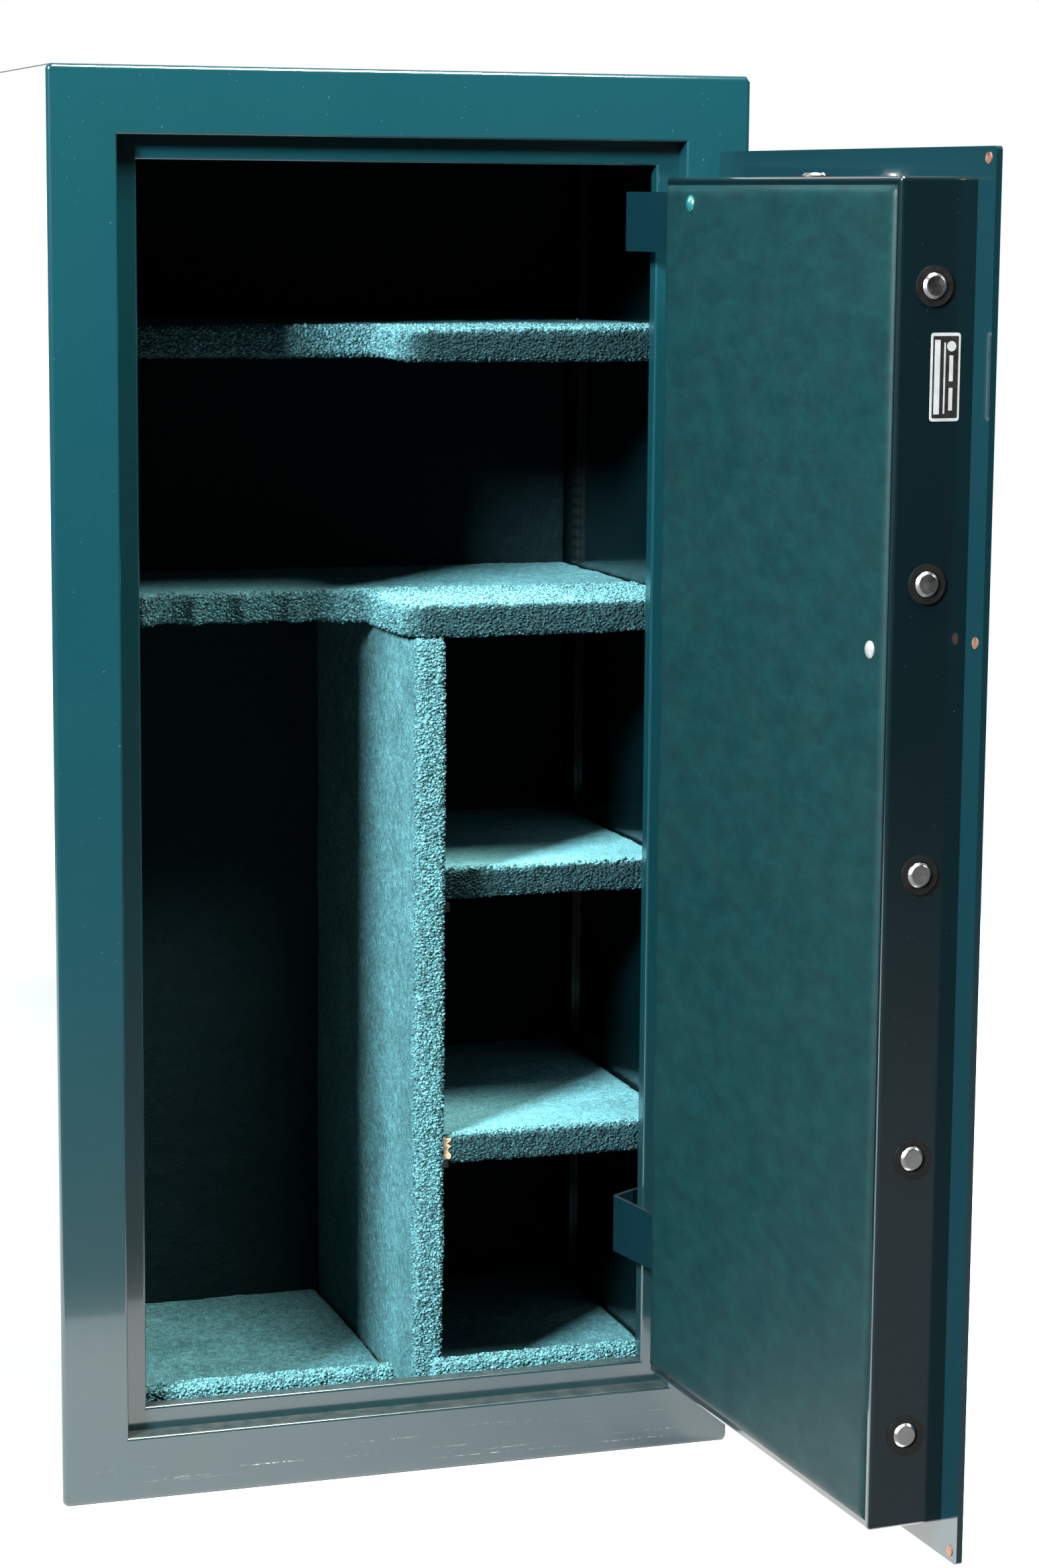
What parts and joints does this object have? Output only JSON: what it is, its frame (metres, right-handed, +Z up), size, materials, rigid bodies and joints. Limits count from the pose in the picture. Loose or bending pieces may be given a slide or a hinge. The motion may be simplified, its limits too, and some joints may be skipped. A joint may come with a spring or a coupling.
{
  "type": "gun safe",
  "caption": "Upright steel gun safe with swing-out door, round locking bolts thrown by a spoked handle, dial lock and carpeted shelves",
  "frame": {"origin": "centre of the cabinet's underside, on the floor", "axes": "+Z up, the front faces -Y and +X is to the right of someone facing it"},
  "size_m": [0.8015, 1.2012, 1.524],
  "materials": {
    "cabinet_enamel": "glossy dark green-teal enamel",
    "inner_enamel": "glossy dark enamel on the liner",
    "trim_enamel": "dark semi-gloss enamel",
    "gypsum_board": "matte paper-faced gypsum fire board",
    "plywood": "raw wood core",
    "teal_carpet": "looped pile",
    "vinyl": "satin textured vinyl",
    "button_teal": "glossy",
    "button_white": "glossy",
    "bolt_chrome": "polished hard chrome",
    "black_plastic": "matte black",
    "bare_steel": "plain steel",
    "copper_dot": "dull copper-coloured",
    "label_stock": "blank printed label",
    "wheel_brass": "machined",
    "dial_black": "satin black"
  },
  "bodies": {
    "cabinet": {"body_shell": "cabinet_enamel", "front_frame": "cabinet_enamel", "fireboard_back": "gypsum_board", "fireboard_left": "gypsum_board", "fireboard_right": "gypsum_board", "fireboard_top": "gypsum_board", "fireboard_floor": "gypsum_board", "inner_liner": "inner_enamel", "back_carpet": "teal_carpet", "floor_board": "plywood", "floor_carpet_left": "teal_carpet", "floor_carpet_right": "teal_carpet", "divider_board": "plywood", "divider_carpet": "teal_carpet", "top_shelf_board": "plywood", "top_shelf_carpet": "teal_carpet", "rest_shelf_board": "plywood", "rest_shelf_carpet": "teal_carpet", "upper_shelf_board": "plywood", "upper_shelf_carpet": "teal_carpet", "lower_shelf_board": "plywood", "lower_shelf_carpet": "teal_carpet", "shelf_standards": "trim_enamel", "shelf_clips": "bare_steel", "hinge_brackets": "trim_enamel", "hinge_pins": "bare_steel", "thrust_washers": "bare_steel"},
    "door": {"door_plate": "cabinet_enamel", "door_box": "trim_enamel", "door_fireboard": "gypsum_board", "door_inner_panel": "vinyl", "panel_button_green": "button_teal", "panel_button_white": "button_white", "hinge_arm_upper": "trim_enamel", "hinge_arm_lower": "trim_enamel", "arm_bolts": "bare_steel", "bolt_bezels": "black_plastic", "bolt_guide_bar": "bare_steel", "hinge_side_dead_bar": "trim_enamel", "plate_stop_buttons": "copper_dot", "rating_label": "label_stock", "lock_case": "bare_steel", "hardplate": "bare_steel", "dial_ring": "dial_black", "handle_escutcheon": "bolt_chrome"},
    "handle": {"handle_shaft": "bare_steel", "handle_hub": "bolt_chrome", "handle_spokes": "bolt_chrome", "drive_cam": "bare_steel"},
    "bolt_carriage": {"bolt_carriage": "bare_steel", "side_bolts": "bolt_chrome"},
    "top_bolt": {"top_bolt": "bolt_chrome", "top_bolt_rod": "bare_steel"},
    "bottom_bolt": {"bottom_bolt": "bolt_chrome", "bottom_bolt_rod": "bare_steel"},
    "dial": {"dial": "dial_black", "dial_spindle": "bare_steel", "lock_wheels": "wheel_brass"},
    "lock_bolt": {"lock_bolt": "wheel_brass"}
  },
  "joints": [
    {"name": "door_swing", "type": "hinge", "parent": "cabinet", "child": "door", "pos_m": [0.3395, -0.271, 0.76], "axis": [0, 0, 1], "range_deg": [-94, 1.5]},
    {"name": "handle_turn", "type": "hinge", "parent": "door", "child": "handle", "pos_m": [0.36114, -0.62345, 0.77], "axis": [0.9976, 0.0698, 0], "range_deg": [0, 75]},
    {"name": "carriage_slide", "type": "slide", "parent": "door", "child": "bolt_carriage", "axis": [0.0698, -0.9976, 0], "range_m": [0, 0.038]},
    {"name": "top_bolt_slide", "type": "slide", "parent": "door", "child": "top_bolt", "axis": [0, 0, 1], "range_m": [0, 0.038]},
    {"name": "bottom_bolt_slide", "type": "slide", "parent": "door", "child": "bottom_bolt", "axis": [0, 0, -1], "range_m": [0, 0.038]},
    {"name": "dial_turn", "type": "hinge", "parent": "door", "child": "dial", "pos_m": [0.36114, -0.62345, 0.95], "axis": [0.9976, 0.0698, 0], "continuous": true},
    {"name": "lock_bolt_slide", "type": "slide", "parent": "door", "child": "lock_bolt", "axis": [0, 0, -1], "range_m": [0, 0.0095]}
  ],
  "couplings": [
    {"joint": "carriage_slide", "follows": "handle_turn", "m_per_rad": 0.02903},
    {"joint": "top_bolt_slide", "follows": "handle_turn", "m_per_rad": 0.02903},
    {"joint": "bottom_bolt_slide", "follows": "handle_turn", "m_per_rad": 0.02903}
  ]
}
